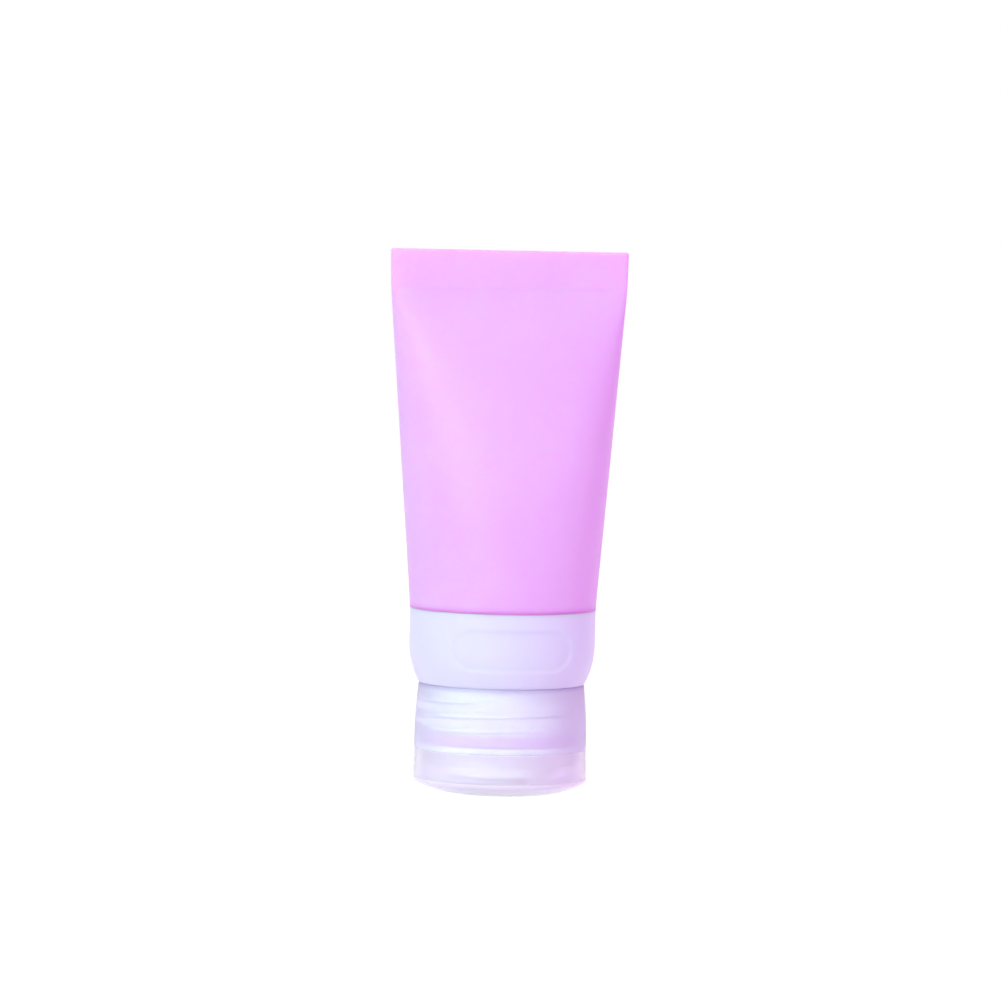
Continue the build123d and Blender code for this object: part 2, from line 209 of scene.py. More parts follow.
# Joins pieces into the first of them.
def joined(pieces):
    bpy.ops.object.select_all(action="DESELECT")
    for piece in pieces:
        piece.select_set(True)
    bpy.context.view_layer.objects.active = pieces[0]
    bpy.ops.object.join()
    return bpy.context.object


# Joins rings into one open skin, as a sleeve is drawn over hoops.
def skin_over(rings):
    skin = joined(rings)
    bpy.ops.object.mode_set(mode="EDIT")
    bpy.ops.mesh.select_all(action="SELECT")
    bpy.ops.mesh.bridge_edge_loops()
    bpy.ops.object.mode_set(mode="OBJECT")
    return skin


# Turns a profile of (radius, height) points by drawing a circle on from point to point.
def turned(points, corners=ring_points):
    bpy.ops.object.select_all(action="DESELECT")
    radius, height = points[0]
    bpy.ops.mesh.primitive_circle_add(
        vertices=corners, radius=radius * mm, location=(0, 0, height * mm)
    )
    bpy.ops.object.transform_apply(location=True)
    piece = bpy.context.object
    bpy.ops.object.mode_set(mode="EDIT")
    bpy.ops.mesh.select_all(action="SELECT")
    for new_radius, new_height in points[1:]:
        lift = (0, 0, (new_height - height) * mm)
        bpy.ops.mesh.extrude_region_move(TRANSFORM_OT_translate={"value": lift})
        scale = new_radius / radius
        bpy.ops.transform.resize(value=(scale, scale, 1), center_override=(0, 0, new_height * mm))
        radius, height = new_radius, new_height
    bpy.ops.object.mode_set(mode="OBJECT")
    return piece


# Points round a corner of a profile, from one angle to another, in degrees.
def rounded(centre_radius, centre_height, corner, start, end, steps=4):
    points = []
    for step in range(steps + 1):
        turn = radians(start + (end - start) * step / steps)
        points.append((centre_radius + corner * cos(turn), centre_height + corner * sin(turn)))
    return points


bpy.ops.object.select_all(action="DESELECT")
outer_rings = []
for turn in (270, 290, 310, 330, 348):
    edge = tube_radius - foot_round + foot_round * cos(radians(turn))
    height = rest_z + foot_round * (1 + sin(radians(turn)))
    outer_rings.append(tube_ring(height, edge, edge, circle_fullness))
outer_steps, outer_top_z = 20, land_z - 3 * land_crease
for step in range(outer_steps):
    height = foot_z + (outer_top_z - foot_z) * step / (outer_steps - 1)
    outer_rings.append(tube_ring(*body_section(height, 0)))
outer_rings.append(tube_ring(*body_section(land_z - land_crease, crease_sink)))
crease_width, crease_depth = land_half_width - crease_sink / 2, tube_wall - crease_sink
outer_rings.append(tube_ring(land_z + land_crease, crease_width, crease_depth, land_fullness))
for share in (0.12, 0.4, 0.7, 0.93):
    width = land_half_width + (seam_half_width - land_half_width) * share
    height = land_z + share * (seam_z - land_z)
    outer_rings.append(tube_ring(height, width, tube_wall - seam_taper * share, land_fullness))
for turn in (15, 40, 65, 90):
    inset = seam_round * (1 - cos(radians(turn)))
    height = seam_z - seam_round * (1 - sin(radians(turn)))
    depth = tube_wall - seam_taper - inset
    outer_rings.append(tube_ring(height, seam_half_width - inset, depth, land_fullness))
body_skin = skin_over(outer_rings)

inner_rings = []
inner_steps, inner_foot_z = 18, cavity_foot_z + cavity_round
for step in range(inner_steps):
    height = inner_foot_z + (cavity_top_z - inner_foot_z) * step / (inner_steps - 1)
    inner_rings.append(tube_ring(*body_section(height, tube_wall)))
cavity_skin = skin_over(inner_rings)

# From the foot in over the drum's rim, down the socket and the liner, round the lip, and
# up the bore to the floor of the cavity.
plug_skin = turned(
    [(19.6, 41.215), (18.9, 41.3), (18.4, 41.5), (17.3, 41.5), (17.1, 41.3), (17.1, 35.0)]
    + [(17.1, 28.8), (16.8, 28.4), (15.2, 28.4), (14.9, 28.2)]
    + [(14.9, 21.0), (14.9, 14.0), (15.1, 13.8), (16.4, 13.8)]
    + rounded(16.4, 13.4, 0.4, 75, 0)
    + rounded(16.4, 11.7, 0.4, 0, -90)
    + [(15.0, 11.3)]
    + rounded(13.8, 11.7, 0.4, -90, -180)
    + [(13.4, 20.0), (13.4, 29.3)]
    + rounded(14.2, 29.3, 0.8, 180, 90)
    + rounded(14.6, 30.9, 0.8, -90, 0)
    + [(15.4, 36.0), (15.4, 42.4)]
    + rounded(16.2, 42.4, 0.8, 180, 90)
    + [(18.2, 43.2), (18.7, 43.35)]
)
tube = joined([body_skin, plug_skin, cavity_skin])
tube.name = "silicone_tube"


# Selects the open edges of the piece in hand.
def select_open_edges():
    bpy.ops.mesh.select_mode(type="EDGE")
    bpy.ops.mesh.select_all(action="DESELECT")
    bpy.ops.mesh.select_non_manifold(
        use_wire=False, use_multi_face=False, use_non_contiguous=False, use_verts=False
    )


# Selects the open edges of a piece that lie between two heights.
def select_rims(piece, low, high):
    bpy.ops.object.mode_set(mode="EDIT")
    select_open_edges()
    bpy.ops.object.mode_set(mode="OBJECT")
    points = piece.data.vertices
    for edge in piece.data.edges:
        middle = (points[edge.vertices[0]].co.z + points[edge.vertices[1]].co.z) / 2
        if edge.select and not low * mm <= middle <= high * mm:
            edge.select = False
    bpy.ops.object.mode_set(mode="EDIT")


for low, high in ((rest_z - 0.1, rest_z + 0.1), (cavity_foot_z - 0.1, inner_foot_z + 0.1)):
    select_rims(tube, low, high)
    bpy.ops.mesh.bridge_edge_loops()
select_rims(tube, cavity_top_z - 0.1, seam_z + 0.1)
bpy.ops.mesh.edge_face_add()
# A narrow border round the top keeps it flat in the smooth shading.
bpy.ops.mesh.inset(thickness=0.12 * mm, depth=0)
bpy.ops.mesh.select_all(action="SELECT")
bpy.ops.mesh.normals_make_consistent(inside=False)
bpy.ops.object.mode_set(mode="OBJECT")
bpy.ops.object.shade_smooth_by_angle(angle=radians(40))


# The moulded skin that all the plastic and silicone share: a fine sparked grain, slow
# cloudy patches, and rubbed marks where the wear input lets them through.
def skin_group():
    group = bpy.data.node_groups.new("moulded_skin", "ShaderNodeTree")
    for name, value in (("Grain", 2500.0), ("Cloud", 60.0), ("Wear", 0.0)):
        socket = group.interface.new_socket(name=name, in_out="INPUT", socket_type="NodeSocketFloat")
        socket.default_value = value
    for name in ("Cloud", "Rubbed", "Relief"):
        group.interface.new_socket(name=name, in_out="OUTPUT", socket_type="NodeSocketFloat")
    nodes, links = group.nodes, group.links
    given = nodes.new("NodeGroupInput")
    put_out = nodes.new("NodeGroupOutput")
    place = nodes.new("ShaderNodeTexCoord")
    grain = nodes.new("ShaderNodeTexNoise")
    grain.inputs["Detail"].default_value = 2
    grain.inputs["Roughness"].default_value = 0.6
    cloud = nodes.new("ShaderNodeTexNoise")
    cloud.inputs["Detail"].default_value = 3
    cloud.inputs["Roughness"].default_value = 0.5
    rub = nodes.new("ShaderNodeTexNoise")
    rub.inputs["Scale"].default_value = 420
    rub.inputs["Detail"].default_value = 4
    rub.inputs["Roughness"].default_value = 0.65
    rub_edge = nodes.new("ShaderNodeMapRange")
    rub_edge.inputs["From Min"].default_value = 0.5
    rub_edge.inputs["From Max"].default_value = 0.62
    worn = nodes.new("ShaderNodeMath")
    worn.operation = "MULTIPLY"
    for noise in (grain, cloud, rub):
        links.new(place.outputs["Object"], noise.inputs["Vector"])
    links.new(given.outputs["Grain"], grain.inputs["Scale"])
    links.new(given.outputs["Cloud"], cloud.inputs["Scale"])
    links.new(rub.outputs["Fac"], rub_edge.inputs["Value"])
    links.new(rub_edge.outputs["Result"], worn.inputs[0])
    links.new(given.outputs["Wear"], worn.inputs[1])
    links.new(cloud.outputs["Fac"], put_out.inputs["Cloud"])
    links.new(worn.outputs[0], put_out.inputs["Rubbed"])
    links.new(grain.outputs["Fac"], put_out.inputs["Relief"])
    return group


moulded_skin = skin_group()


# A finish built on the moulded skin. Its colour drifts between two shades with the cloudy
# patches, its roughness between two values, and rubbed places turn pale and dull.
def moulded_finish(name, shades, rubbed_shade, roughness, grain, cloud, bump):
    finish = bpy.data.materials.new(name)
    finish.use_nodes = True
    nodes, links = finish.node_tree.nodes, finish.node_tree.links
    shader = nodes["Principled BSDF"]
    skin = nodes.new("ShaderNodeGroup")
    skin.node_tree = moulded_skin
    skin.inputs["Grain"].default_value = grain
    skin.inputs["Cloud"].default_value = cloud
    drift = nodes.new("ShaderNodeMapRange")
    drift.inputs["From Min"].default_value = 0.35
    drift.inputs["From Max"].default_value = 0.65
    tone = nodes.new("ShaderNodeMix")
    tone.data_type = "RGBA"
    tone.inputs["A"].default_value = (*shades[0], 1)
    tone.inputs["B"].default_value = (*shades[1], 1)
    pale = nodes.new("ShaderNodeMix")
    pale.data_type = "RGBA"
    pale.inputs["B"].default_value = (*rubbed_shade, 1)
    dull = nodes.new("ShaderNodeMapRange")
    dull.inputs["To Min"].default_value = roughness[0]
    dull.inputs["To Max"].default_value = roughness[1]
    duller = nodes.new("ShaderNodeMath")
    duller.operation = "MULTIPLY_ADD"
    duller.inputs[1].default_value = 0.2
    relief = nodes.new("ShaderNodeBump")
    relief.inputs["Strength"].default_value = 1
    relief.inputs["Distance"].default_value = bump * mm
    links.new(skin.outputs["Cloud"], drift.inputs["Value"])
    links.new(drift.outputs["Result"], tone.inputs["Factor"])
    links.new(tone.outputs["Result"], pale.inputs["A"])
    links.new(skin.outputs["Rubbed"], pale.inputs["Factor"])
    links.new(pale.outputs["Result"], shader.inputs["Base Color"])
    links.new(drift.outputs["Result"], dull.inputs["Value"])
    links.new(skin.outputs["Rubbed"], duller.inputs[0])
    links.new(dull.outputs["Result"], duller.inputs[2])
    links.new(duller.outputs[0], shader.inputs["Roughness"])
    links.new(skin.outputs["Relief"], relief.inputs["Height"])
    links.new(relief.outputs["Normal"], shader.inputs["Normal"])
    return finish, shader, skin


# The height of the point that a finish is on, in metres.
def height_in(finish):
    nodes, links = finish.node_tree.nodes, finish.node_tree.links
    place = nodes.new("ShaderNodeTexCoord")
    split = nodes.new("ShaderNodeSeparateXYZ")
    links.new(place.outputs["Object"], split.inputs[0])
    return split.outputs["Z"]


# A mask that grows from nothing at the start height to its most at the full height, and
# stays there beyond it. The full height may be the lower one.
def height_mask(finish, start, full, most):
    band = finish.node_tree.nodes.new("ShaderNodeMapRange")
    band.inputs["From Min"].default_value = start * mm
    band.inputs["From Max"].default_value = full * mm
    band.inputs["To Max"].default_value = most
    finish.node_tree.links.new(height_in(finish), band.inputs["Value"])
    return band.outputs["Result"]


# Lets the wear of a finish through by height.
def wear_by_height(finish, skin, start, full, most):
    mask = height_mask(finish, start, full, most)
    finish.node_tree.links.new(mask, skin.inputs["Wear"])


# Paints shade into the colour of a finish by height, but not under the lowest height.
def paint_shade_by_height(finish, shader, shade, start, full, most, lowest=0.0):
    nodes, links = finish.node_tree.nodes, finish.node_tree.links
    above = nodes.new("ShaderNodeMath")
    above.operation = "GREATER_THAN"
    above.inputs[1].default_value = lowest * mm
    share = nodes.new("ShaderNodeMath")
    share.operation = "MULTIPLY"
    deep = nodes.new("ShaderNodeMix")
    deep.data_type = "RGBA"
    deep.inputs["B"].default_value = (*shade, 1)
    links.new(height_in(finish), above.inputs[0])
    links.new(height_mask(finish, start, full, most), share.inputs[0])
    links.new(above.outputs[0], share.inputs[1])
    links.new(share.outputs[0], deep.inputs["Factor"])
    links.new(shader.inputs["Base Color"].links[0].from_socket, deep.inputs["A"])
    links.new(deep.outputs["Result"], shader.inputs["Base Color"])


silicone, shader, skin = moulded_finish(
    "pink_silicone",
    shades=((0.79, 0.46, 0.845), (0.81, 0.495, 0.865)),
    rubbed_shade=(0.9, 0.6, 0.96),
    roughness=(0.42, 0.5),
    grain=2600,
    cloud=45,
    bump=0.012,
)
shader.inputs["IOR"].default_value = 1.41
shader.inputs["Subsurface Weight"].default_value = 1.0
shader.inputs["Subsurface Radius"].default_value = (1.0, 0.5, 1.0)
shader.inputs["Subsurface Scale"].default_value = 2 * mm
# The seam's edge is rubbed. From the shoulder down the pink is painted deeper, a painted
# shade along the joint with the collar, though the foot is also thicker than the wall. Its very
# edge gets a pinker painted line that makes up for light lost into the joint.
wear_by_height(silicone, skin, start=seam_z - 1.5, full=seam_z, most=0.1)
paint_shade_by_height(silicone, shader, (0.74, 0.28, 0.83), start=42.8, full=41.6, most=0.5)
paint_shade_by_height(silicone, shader, (1.0, 0.2, 1.0), start=42.1, full=41.4, most=0.5, lowest=41.0)
tube.data.materials.clear()
tube.data.materials.append(silicone)
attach(tube, "bottle")
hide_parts("bottle_body")

# The sleeve is a rigid white moulding inside the tube's neck. It carries the collar, and
# a right-hand thread on its neck holds the cap.
thread_pitch = 3.2
sleeve_white, shader, _ = moulded_finish(
    "white_sleeve",
    shades=((0.9, 0.88, 0.98), (0.93, 0.91, 0.99)),
    rubbed_shade=(0.93, 0.93, 0.95),
    roughness=(0.35, 0.45),
    grain=1800,
    cloud=80,
    bump=0.006,
)
shader.inputs["IOR"].default_value = 1.49


# Gives a CAD node one finish in place of the one it came with.
def dress(node, finish):
    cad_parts[node].data.materials.clear()
    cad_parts[node].data.materials.append(finish)


dress("neck_sleeve", sleeve_white)


# A thread: a trapezoid wound up a helix, which starts at the left side and thins out
# over a twelfth of a turn at both ends.
def wound_thread(name, root, crest, start_z, turns):
    root_half, crest_half = 0.8, 0.35
    bpy.ops.object.select_all(action="DESELECT")
    bpy.ops.mesh.primitive_plane_add(size=1, location=(0, 0, 0), rotation=(pi / 2, 0, 0))
    bpy.ops.object.transform_apply(rotation=True)
    thread = bpy.context.object
    thread.name = name
    outward = crest > root
    for point in thread.data.vertices:
        at_crest = (point.co.x < 0) == outward
        half = crest_half if at_crest else root_half
        rise = half if point.co.z > 0 else -half
        point.co = (-(crest if at_crest else root) * mm, 0, (start_z + rise) * mm)
    bpy.ops.object.mode_set(mode="EDIT")
    bpy.ops.mesh.select_all(action="SELECT")
    bpy.ops.mesh.delete(type="ONLY_FACE")
    bpy.ops.object.mode_set(mode="OBJECT")
    winding = thread.modifiers.new("winding", "SCREW")
    winding.angle = 2 * pi * turns
    winding.screw_offset = thread_pitch * turns * mm
    winding.steps = winding.render_steps = round(ring_points * turns)
    winding.iterations = 1
    bpy.ops.object.modifier_apply(modifier="winding")
    fade, thinnest = 1 / 12, 0.05
    for point in thread.data.vertices:
        angle = atan2(-point.co.y, -point.co.x) / (2 * pi)
        whole = round((point.co.z / mm - start_z) / thread_pitch - angle)
        wound = angle + whole
        share = min(wound, turns - wound) / fade
        if share < 1:
            middle_z = start_z + thread_pitch * wound
            turn = 2 * pi * angle
            centre = Vector((-root * cos(turn), -root * sin(turn), middle_z)) * mm
            point.co = centre + (point.co - centre) * max(share, thinnest)
    bpy.ops.object.mode_set(mode="EDIT")
    select_open_edges()
    bpy.ops.mesh.edge_face_add()
    bpy.ops.mesh.select_all(action="SELECT")
    bpy.ops.mesh.normals_make_consistent(inside=False)
    bpy.ops.object.mode_set(mode="OBJECT")
    bpy.ops.object.shade_smooth_by_angle(angle=radians(35))
    return thread


neck_thread = wound_thread("neck_thread", root=16.35, crest=17.25, start_z=14.45, turns=2.25)
neck_thread.data.materials.append(sleeve_white)
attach(neck_thread, "bottle")

# The collar is a milky ring that turns round the sleeve: it hooks under the sleeve's
# floor and over its bead. The pill-shaped window is a shallow recess and is left blank.
milky, shader, _ = moulded_finish(
    "milky_collar",
    shades=((0.71, 0.71, 0.89), (0.74, 0.74, 0.91)),
    rubbed_shade=(0.92, 0.92, 0.97),
    roughness=(0.3, 0.4),
    grain=1500,
    cloud=50,
    bump=0.004,
)
shader.inputs["IOR"].default_value = 1.49
shader.inputs["Subsurface Weight"].default_value = 0.8
shader.inputs["Subsurface Radius"].default_value = (1.0, 0.8, 1.0)
shader.inputs["Subsurface Scale"].default_value = 1.8 * mm
collar_side, collar_arc, collar_bend_z = 20.75, 19.125, 33.5
window_z, window_turn, window_depth, window_soft = 33.1, radians(7.75), 0.36, 0.65
window_straight, window_round, window_floor = 8.95, 4.45, 19.6


# The collar's outside: upright above, then drawn in to the cap.
def collar_radius(height):
    drop = max(collar_bend_z - height, 0)
    return collar_side - collar_arc + sqrt(collar_arc**2 - drop**2)


# Names a turned piece and closes it, at its poles or where its last point is its first.
def close_turned(piece, name):
    piece.name = name
    bpy.ops.object.mode_set(mode="EDIT")
    bpy.ops.mesh.select_all(action="SELECT")
    bpy.ops.mesh.remove_doubles(threshold=0.005 * mm)
    bpy.ops.mesh.fill_holes(sides=0)
    bpy.ops.mesh.normals_make_consistent(inside=False)
    bpy.ops.object.mode_set(mode="OBJECT")
    bpy.ops.object.shade_smooth_by_angle(angle=radians(35))


collar = turned(
    [(17.6, 24.6), (17.7, 24.5), (18.3, 24.5), (18.48, 24.55)]
    + [(collar_radius(height), height) for height in (24.8, 25.5, 26.3, 27, 27.6)]
    + [(collar_radius(27.9 + 0.26 * step), 27.9 + 0.26 * step) for step in range(41)]
    + [(collar_side, 39.5), (collar_side, 41.0)]
    + rounded(20.72, 41.17, 0.03, 0, 90)
    + [(19.1, 41.2), (18.9, 41.0), (18.9, 39.7)]
    + [(19.08, 39.45), (19.15, 39.2), (19.08, 38.95), (18.9, 38.7)]
    + [(18.9, 28.8), (18.74, 28.0), (18.28, 27.3), (17.6, 26.86), (17.6, 24.6)],
    corners=384,
)
close_turned(collar, "milky_collar")

# The window is sunk into the front: each point by how far it lies inside the pill.
for point in collar.data.vertices:
    along = point.co.x * cos(window_turn) + point.co.y * sin(window_turn)
    ahead = point.co.x * sin(window_turn) - point.co.y * cos(window_turn)
    radius = point.co.xy.length
    if ahead > 0 and radius > window_floor * mm:
        past_straight = max(abs(along) / mm - window_straight, 0)
        beyond = Vector((past_straight, point.co.z / mm - window_z)).length
        share = min(max((window_round + window_soft - beyond) / (2 * window_soft), 0), 1)
        sink = 1 - window_depth * mm * share**2 * (3 - 2 * share) / radius
        point.co.x *= sink
        point.co.y *= sink
collar.data.materials.append(milky)
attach(collar, "collar")
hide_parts("window_collar")

# The cap is one frosted moulding: the skirt that screws on the neck, and inside it a milky
# plate with the spigot and the boss. Only its outside is sparked, and the bore is
# polished, so that the neck, its thread and the pink lip show through the skirt.
parting_z, cap_side, lid_bore = 10.0, 19.2, 18.05
pad_half_width, pad_face, pad_height, pad_chamfer = 9.0, 19.6, 4.2, 1.2
rebate_face, rebate_height = 18.8, 0.6
notch_radius, notch_floor, notch_z = 10.72, 18.6, 1.88
skirt_lean, skirt_bulge, bulge_height = 0.02353, 0.004666, 8.5


# The skirt leans in and bulges a little: its outer radius at a height.
def skirt_radius(height):
    rise = height - parting_z
    return cap_side - skirt_lean * rise - skirt_bulge * rise * (rise - bulge_height)


# Joins one piece to another, or takes it out, with the exact solver.
def combine(piece, tool, operation):
    bpy.ops.object.select_all(action="DESELECT")
    piece.select_set(True)
    bpy.context.view_layer.objects.active = piece
    cut = piece.modifiers.new("cut", "BOOLEAN")
    cut.operation = operation
    cut.solver = "EXACT"
    cut.object = tool
    bpy.ops.object.modifier_apply(modifier="cut")
    bpy.data.objects.remove(tool)


# A block that is as wide to the left as to the right of its middle.
def block(half_width, near_y, far_y, near_z, far_z, middle_x=0.0):
    bpy.ops.object.select_all(action="DESELECT")
    middle_y, middle_z = (near_y + far_y) / 2, (near_z + far_z) / 2
    bpy.ops.mesh.primitive_cube_add(size=1, location=(middle_x * mm, middle_y * mm, middle_z * mm))
    cube = bpy.context.object
    cube.scale = (2 * half_width * mm, abs(far_y - near_y) * mm, abs(far_z - near_z) * mm)
    bpy.ops.object.transform_apply(location=True, scale=True)
    return cube


# A round post of a radius and a depth, upright or leaning about X.
def post(radius, depth, place, lean=0):
    bpy.ops.object.select_all(action="DESELECT")
    centre = [value * mm for value in place]
    bpy.ops.mesh.primitive_cylinder_add(
        vertices=ring_points, radius=radius * mm, depth=depth * mm, location=centre, rotation=(lean, 0, 0)
    )
    bpy.ops.object.transform_apply(location=True, rotation=True)
    return bpy.context.object


# A flat pad for the hinge, behind the skirt or the lid, rebated where the two meet.
def hinge_pad(near_z, direction):
    far_z = near_z + direction * pad_height
    pad = block(pad_half_width, 14.0, rebate_face, near_z, far_z)
    rebate_z = near_z + direction * rebate_height
    combine(pad, block(pad_half_width, 16.0, pad_face, rebate_z, far_z), "UNION")
    bpy.ops.object.mode_set(mode="EDIT")
    bpy.ops.mesh.select_all(action="SELECT")
    edge_place = (0, pad_face * mm, (far_z - direction * pad_chamfer) * mm)
    bpy.ops.mesh.bisect(plane_co=edge_place, plane_no=(0, 1, direction), use_fill=True, clear_outer=True)
    bpy.ops.object.mode_set(mode="OBJECT")
    soft = pad.modifiers.new("soft", "BEVEL")
    soft.width = 0.2 * mm
    soft.segments = 3
    soft.limit_method = "ANGLE"
    bpy.ops.object.modifier_apply(modifier="soft")
    combine(pad, post(lid_bore, 60, (0, 0, near_z)), "DIFFERENCE")
    return pad


# Lets a share of a lamp's light pass straight through a finish to what it covers.
def let_lamps_through(finish, shader, share):
    nodes, links = finish.node_tree.nodes, finish.node_tree.links
    through = nodes.new("ShaderNodeBsdfTransparent")
    through.inputs["Color"].default_value = (0.985, 0.97, 1.0, 1)
    path = nodes.new("ShaderNodeLightPath")
    part = nodes.new("ShaderNodeMath")
    part.operation = "MULTIPLY"
    part.inputs[1].default_value = share
    mix = nodes.new("ShaderNodeMixShader")
    links.new(path.outputs["Is Shadow Ray"], part.inputs[0])
    links.new(part.outputs[0], mix.inputs["Fac"])
    links.new(shader.outputs[0], mix.inputs[1])
    links.new(through.outputs[0], mix.inputs[2])
    links.new(mix.outputs[0], nodes["Material Output"].inputs["Surface"])


# A frosted finish: milky in part, and for the rest rough and see-through.
def frosted_finish(name, shades, clear_share, roughness, lamp_share=1.0):
    rubbed_shade = (0.93, 0.93, 0.97)
    finish, shader, skin = moulded_finish(
        name, shades, rubbed_shade, roughness, grain=1600, cloud=70, bump=0.004
    )
    shader.inputs["IOR"].default_value = 1.4
    shader.inputs["Transmission Weight"].default_value = clear_share
    let_lamps_through(finish, shader, lamp_share)
    return finish, shader, skin


frosted, shader, _ = frosted_finish(
    "frosted_outside",
    shades=((0.81, 0.78, 0.96), (0.84, 0.81, 0.97)),
    clear_share=0.45,
    roughness=(0.4, 0.46),
)
# The skirt's top, under the collar, is painted a deeper lavender: painted shade along the joint.
paint_shade_by_height(frosted, shader, (0.62, 0.55, 0.88), start=23.4, full=24.2, most=0.7)
polished, _, _ = frosted_finish(
    "polished_inside",
    shades=((0.96, 0.94, 1.0), (0.97, 0.95, 1.0)),
    clear_share=0.96,
    roughness=(0.28, 0.32),
)
milky_plate, _, _ = frosted_finish(
    "milky_plate",
    shades=((0.98, 0.87, 0.98), (0.99, 0.9, 0.99)),
    clear_share=0.02,
    roughness=(0.2, 0.3),
    lamp_share=0.9,
)


# Gives a see-through shell its finishes: frosted outside, polished inside.
def finish_shell(shell, outside, inside_finish, inner_radius, inner_z):
    shell.data.materials.clear()
    shell.data.materials.append(outside)
    shell.data.materials.append(inside_finish)
    for face in shell.data.polygons:
        radial = Vector((face.center.x, face.center.y, 0)).normalized()
        inward = face.normal.z - face.normal.dot(radial) > 0.6
        inside = face.center.xy.length < inner_radius * mm and face.center.z > inner_z * mm
        face.material_index = 1 if inward and inside else 0


skirt = turned(
    [(17.6, 10.0)]
    + rounded(19.14, 10.06, 0.06, -90, 0, 3)
    + [(skirt_radius(height), height) for height in (11, 12, 13, 14.5, 16, 17.5, 19, 20.5, 22, 23)]
    + rounded(18.03, 23.97, 0.5, 5, 90)
    + [(17.6, 24.47), (17.45, 24.32), (17.45, 20.0), (17.45, 15.0), (17.45, 10.15), (17.6, 10.0)]
)
close_turned(skirt, "cap_skirt")
combine(skirt, hinge_pad(parting_z, 1), "UNION")
notch = post(notch_radius, 8, (0, -20, notch_z), lean=pi / 2)
combine(notch, post(notch_floor, 60, (0, 0, 0)), "DIFFERENCE")
combine(skirt, notch, "DIFFERENCE")
bpy.ops.object.shade_smooth_by_angle(angle=radians(35))
finish_shell(skirt, frosted, polished, 17.55, 10.1)
plate = turned(
    [(17.3, 11.2), (14.0, 11.2), (11.2, 11.2), (11.0, 11.0), (11.0, 8.0), (11.0, 5.0), (9.0, 5.0)]
    + [(6.6, 5.0), (6.5, 4.9), (6.5, 3.9), (6.6, 3.8), (9.0, 3.8)]
    + rounded(11.6, 4.6, 0.8, -90, 0, 6)
    + [(12.4, 7.0), (12.4, 9.2), (12.6, 9.4), (14.5, 9.4), (17.42, 9.4), (17.42, 11.1), (17.3, 11.2)]
)
close_turned(plate, "cap_plate")
spigot = turned(
    [(16.4, 9.38), (16.4, 7.2), (16.55, 7.0), (17.45, 7.0), (17.6, 7.15), (17.6, 9.38), (16.4, 9.38)]
)
close_turned(spigot, "cap_spigot")
spigot.data.materials.append(polished)
cap_thread = wound_thread("cap_thread", root=17.5, crest=16.9, start_z=16.05, turns=2.0)
for piece in (plate, cap_thread):
    piece.data.materials.append(milky_plate)
for piece in (skirt, plate, spigot, cap_thread):
    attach(piece, "cap")
for piece in (skirt, plate, spigot):
    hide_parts("cap_base")

# The valve is a soft silicone disc with a domed, cross-slit middle. A plain white ring,
# pressed into the boss, holds its flange.
slit_half_long, slit_half_wide = 3.0, 0.075


# One side of the valve: a turned sheet whose last small ring is closed.
def valve_side(points):
    side = turned(points)
    bpy.ops.object.mode_set(mode="EDIT")
    bpy.ops.mesh.edge_face_add()
    bpy.ops.object.mode_set(mode="OBJECT")
    return side


upper = valve_side(
    [(10.7, 5.0), (10.8, 5.1), (10.8, 6.5), (10.7, 6.6), (8.5, 6.6), (6.5, 6.65)]
    + [(5.6, 6.76), (4.5, 6.86), (3.2, 6.94), (1.6, 6.985), (0.4, 7.0)]
)
under = valve_side(
    [(10.7, 5.0), (8.5, 5.0), (6.4, 5.0), (5.6, 5.4), (4.5, 5.78), (3.2, 6.03), (1.6, 6.16), (0.4, 6.2)]
)
valve = joined([upper, under])
valve.name = "slit_valve"
bpy.ops.object.mode_set(mode="EDIT")
bpy.ops.mesh.select_all(action="SELECT")
bpy.ops.mesh.remove_doubles(threshold=0.01 * mm)
bpy.ops.mesh.normals_make_consistent(inside=False)
bpy.ops.object.mode_set(mode="OBJECT")
for half_x, half_y in ((slit_half_long, slit_half_wide), (slit_half_wide, slit_half_long)):
    combine(valve, block(half_x, -half_y, half_y, 3.6, 9.6), "DIFFERENCE")
bpy.ops.object.shade_smooth_by_angle(angle=radians(35))
valve_silicone, shader, _ = moulded_finish(
    "valve_silicone",
    shades=((0.88, 0.5, 0.88), (0.9, 0.54, 0.9)),
    rubbed_shade=(0.9, 0.7, 0.95),
    roughness=(0.35, 0.45),
    grain=2600,
    cloud=90,
    bump=0.006,
)
shader.inputs["Subsurface Weight"].default_value = 0.8
shader.inputs["Subsurface Radius"].default_value = (1.0, 0.4, 1.0)
shader.inputs["Subsurface Scale"].default_value = 2 * mm
valve.data.materials.clear()
valve.data.materials.append(valve_silicone)
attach(valve, "valve_set")
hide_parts("no_drip_valve")
dress("valve_retainer", sleeve_white)

# The lid is a frosted dome of the same plastic as the cap. The bottle stands on its flat
# crown, which has picked up the most marks, and a ring inside it stops the orifice.
crown_flat, crown_wall, crown_top_z = 9.5, 1.5, 3.5
frosted_lid, _, _ = frosted_finish(
    "frosted_lid",
    shades=((0.95, 0.9, 0.99), (0.97, 0.92, 1.0)),
    clear_share=0.55,
    roughness=(0.12, 0.16),
)
polished_lid, _, _ = frosted_finish(
    "polished_lid",
    shades=((0.8, 0.77, 0.95), (0.82, 0.79, 0.96)),
    clear_share=0.96,
    roughness=(0.04, 0.05),
)
frosted_crown, _, skin = frosted_finish(
    "frosted_crown",
    shades=((0.92, 0.85, 0.98), (0.94, 0.87, 0.99)),
    clear_share=0.2,
    roughness=(0.18, 0.24),
)
wear_by_height(frosted_crown, skin, start=2.0, full=0.0, most=0.4)


# The crown outside and inside: an arc that leaves the flat and climbs to the wall.
def crown(base, arc, run, steps):
    reaches = [run * step / steps for step in range(1, steps + 1)]
    return [(crown_flat + reach, base + arc - sqrt(arc**2 - reach**2)) for reach in reaches]


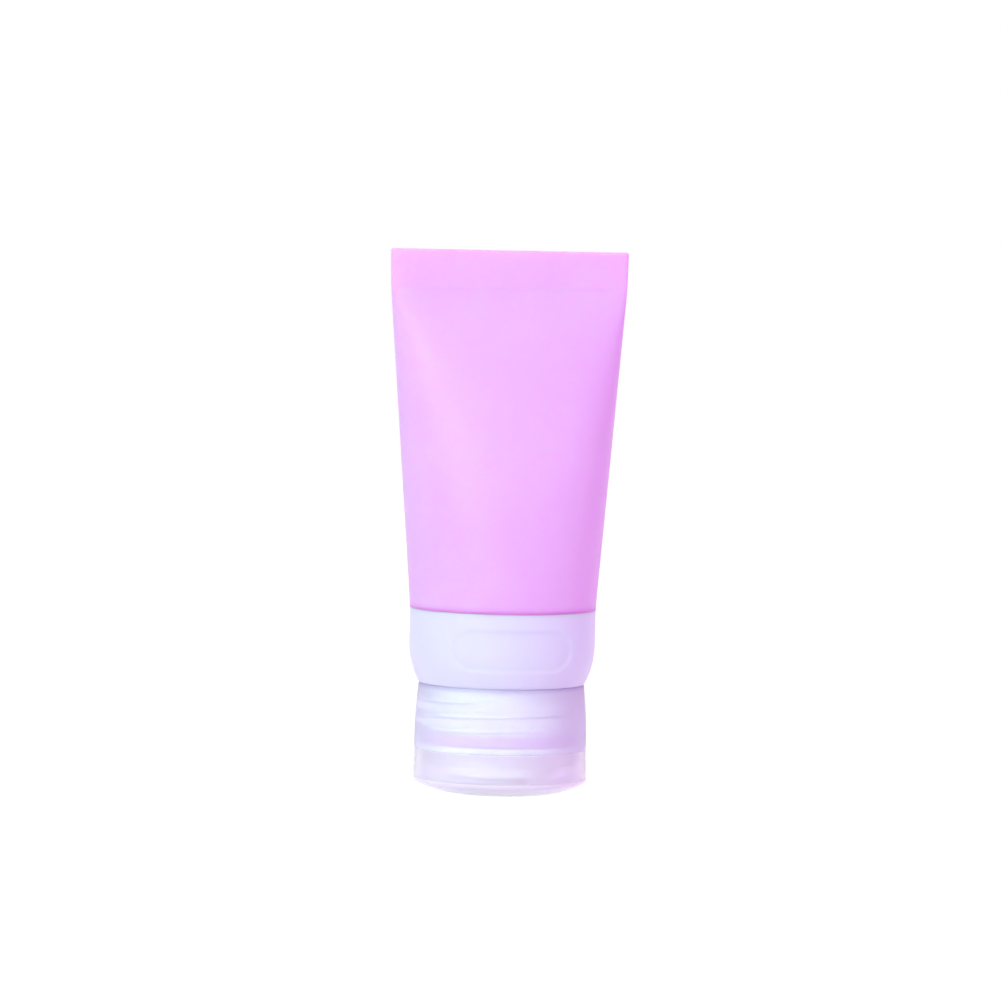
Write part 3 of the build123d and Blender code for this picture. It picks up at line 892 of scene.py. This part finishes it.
lid = turned(
    [(0.4, 0.0), (4.0, 0.0), (crown_flat, 0.0)]
    + crown(0.0, 19.5, 9.2, 12)
    + rounded(18.19, 3.395, 1.2, -60, 0, 7)
    + [(19.36, 4.5), (19.28, 7.0), (19.2, 9.86), (19.19, 9.95), (19.14, 9.985)]
    + [(18.2, 9.985), (lid_bore, 9.85), (lid_bore, 6.0)]
    + crown(crown_wall, 18.0, 8.55, 10)[::-1]
    + [(crown_flat, crown_wall), (4.0, crown_wall), (0.4, crown_wall)]
)
close_turned(lid, "lid_cup")
combine(lid, hinge_pad(9.8, -1), "UNION")
bpy.ops.object.shade_smooth_by_angle(angle=radians(35))
finish_shell(lid, frosted_lid, polished_lid, 18.1, 1.4)
lid.data.materials.append(frosted_crown)
for face in lid.data.polygons:
    if face.center.z < crown_top_z * mm and face.material_index == 0:
        face.material_index = 2
stop_ring = turned(
    [(5.0, 1.51), (6.1, 1.51), (6.1, 4.1), (5.9, 4.4), (5.2, 4.4), (5.0, 4.2), (5.0, 1.51)]
)
close_turned(stop_ring, "orifice_stop")
stop_ring.data.materials.append(milky_plate)
for piece in (lid, stop_ring):
    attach(piece, "lid")
    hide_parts("flip_lid")

# The lid hangs on two thin films and an arched strap, all moulded with the cap. They are
# thin enough to bend where they cross the joint.
hinge_y, hinge_z = 19.4, 9.9
film_width, film_depth, film_reach, film_thin, film_x = 4.5, 0.35, 0.7, 0.1, 6.5
band_width, band_depth, band_reach, band_bow, band_thin = 5.0, 0.5, 2.7, 0.5, 0.3


# A flat strip of the hinge, cut finely enough to bend.
def hinge_strip(name, half_width, near_y, far_y, reach, cuts, middle_x=0.0):
    strip = block(half_width, near_y, far_y, hinge_z - reach, hinge_z + reach, middle_x)
    strip.name = name
    bpy.ops.object.mode_set(mode="EDIT")
    bpy.ops.mesh.select_all(action="SELECT")
    bpy.ops.mesh.subdivide(number_cuts=cuts)
    bpy.ops.object.mode_set(mode="OBJECT")
    return strip


for film_name, middle_x in (("hinge_film_left", -film_x), ("hinge_film_right", film_x)):
    film = hinge_strip(
        film_name + "_web", film_width / 2, pad_face - film_depth, pad_face, film_reach, 9, middle_x
    )
    for point in film.data.vertices:
        off = abs(point.co.z / mm - hinge_z) / film_reach
        if point.co.y / mm > pad_face - 0.1:
            point.co.y -= film_thin * mm * (1 - off**2)
    bpy.ops.object.shade_smooth_by_angle(angle=radians(40))
    film.data.materials.append(frosted)
    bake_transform(film)
    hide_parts(film_name)

strap = hinge_strip("snap_band", band_width / 2, pad_face, pad_face + band_depth, band_reach, 11)
for point in strap.data.vertices:
    off = abs(point.co.z / mm - hinge_z) / band_reach
    point.co.y += band_bow * (1 - off**2) * mm
    if point.co.y / mm > pad_face + 0.4:
        point.co.y -= band_thin * off**6 * mm
bpy.ops.object.shade_smooth_by_angle(angle=radians(40))
strap.data.materials.append(frosted)
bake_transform(strap)
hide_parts("snap_strap")
